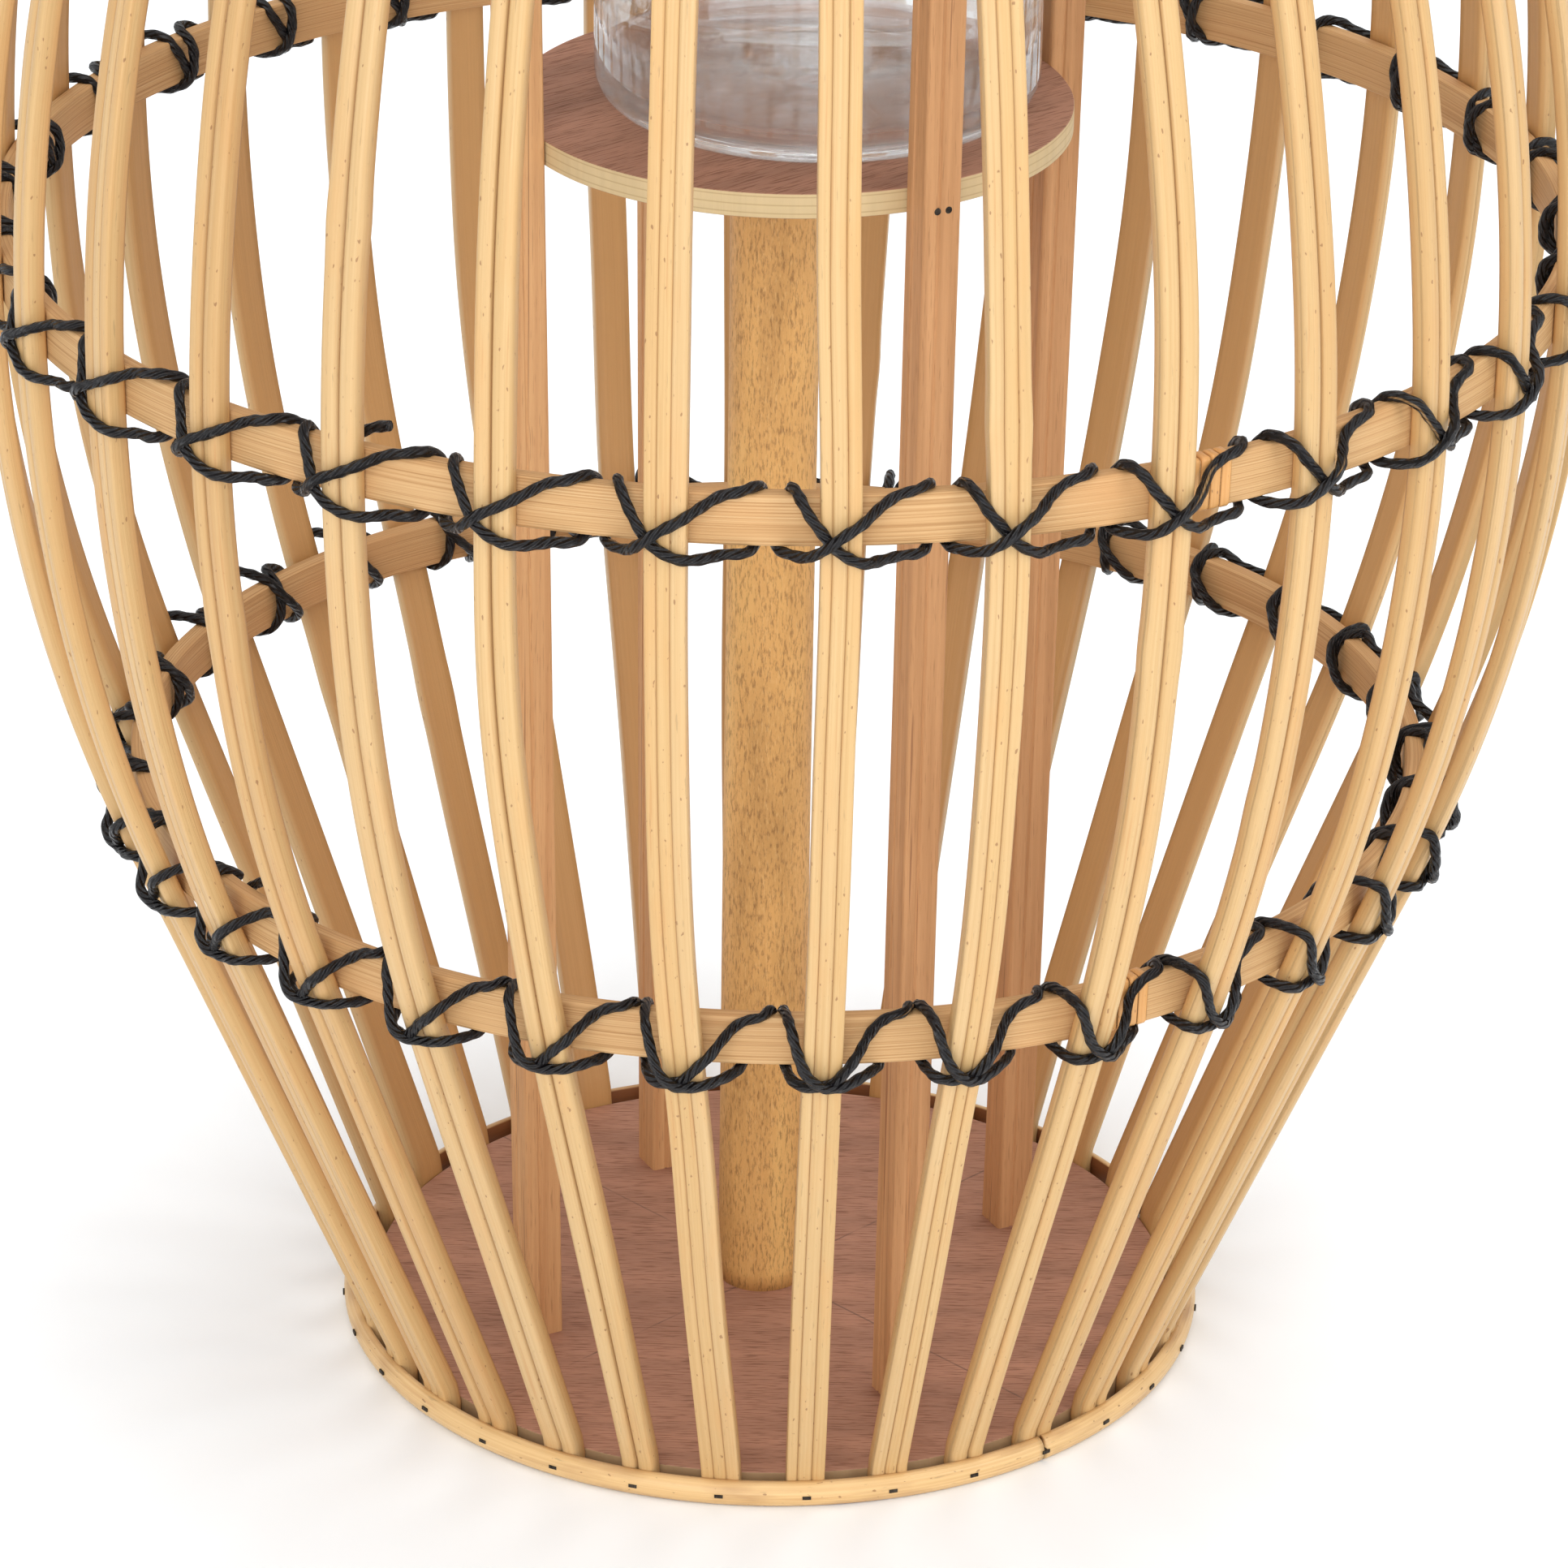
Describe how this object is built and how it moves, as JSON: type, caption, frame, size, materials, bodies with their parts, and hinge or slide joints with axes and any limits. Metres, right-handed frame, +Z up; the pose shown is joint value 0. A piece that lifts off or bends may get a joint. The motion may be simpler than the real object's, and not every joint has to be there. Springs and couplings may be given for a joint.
{
  "type": "rattan cage floor lantern",
  "caption": "Barrel-shaped floor lantern: a cage of rattan ribs bound to hoops with black cord, a plywood base, and a glass cylinder on a raised shelf.",
  "frame": {"origin": "centre of the underside of the base, on the floor", "axes": "+Z up along the pole, -Y towards the front that the order's view shows, +X to its right"},
  "size_m": [0.4162, 0.4162, 0.624],
  "materials": {
    "rib_rattan": "peeled rattan strip, pale straw, satin",
    "hoop_rattan": "split rattan strip, fine fibres, matte",
    "band_rattan": "half-round rattan, satin",
    "pole_rattan": "whole rattan pole with its skin on, flecked, satin",
    "post_wood": "sawn softwood, pinkish brown, matte",
    "plywood": "thin hardwood plywood, reddish veneer, matte",
    "waxed_cord": "black twisted waxed cord, slight sheen",
    "binding_peel": "rattan peel, glossy skin outwards",
    "nail_steel": "small steel nails, darkened",
    "clear_glass": "clear glass, polished"
  },
  "bodies": {
    "cage": {"rib_01": "rib_rattan", "rib_02": "rib_rattan", "rib_03": "rib_rattan", "rib_04": "rib_rattan", "rib_05": "rib_rattan", "rib_06": "rib_rattan", "rib_07": "rib_rattan", "rib_08": "rib_rattan", "rib_09": "rib_rattan", "rib_10": "rib_rattan", "rib_11": "rib_rattan", "rib_12": "rib_rattan", "rib_13": "rib_rattan", "rib_14": "rib_rattan", "rib_15": "rib_rattan", "rib_16": "rib_rattan", "rib_17": "rib_rattan", "rib_18": "rib_rattan", "rib_19": "rib_rattan", "rib_20": "rib_rattan", "rib_21": "rib_rattan", "rib_22": "rib_rattan", "rib_23": "rib_rattan", "rib_24": "rib_rattan", "rib_25": "rib_rattan", "rib_26": "rib_rattan", "rib_27": "rib_rattan", "rib_28": "rib_rattan", "rib_29": "rib_rattan", "rib_30": "rib_rattan", "rib_31": "rib_rattan", "rib_32": "rib_rattan", "lower_hoop": "hoop_rattan", "middle_hoop": "hoop_rattan", "upper_hoop": "hoop_rattan", "hoop_bindings": "binding_peel", "lower_lashing": "waxed_cord", "middle_lashing": "waxed_cord", "upper_lashing": "waxed_cord", "base_band": "band_rattan", "top_band": "band_rattan", "base_board": "plywood", "shelf_board": "plywood", "top_board": "plywood", "centre_pole": "pole_rattan", "corner_post_1": "post_wood", "corner_post_2": "post_wood", "corner_post_3": "post_wood", "corner_post_4": "post_wood", "base_band_brads": "nail_steel", "base_post_nails": "nail_steel", "shelf_nails": "nail_steel", "top_band_brads": "nail_steel", "top_post_nails": "nail_steel"},
    "glass": {"glass_cylinder": "clear_glass"}
  },
  "joints": [
    {"name": "glass_lift", "type": "slide", "parent": "cage", "child": "glass", "axis": [0, 0, 1], "range_m": [0, 0.29]}
  ]
}
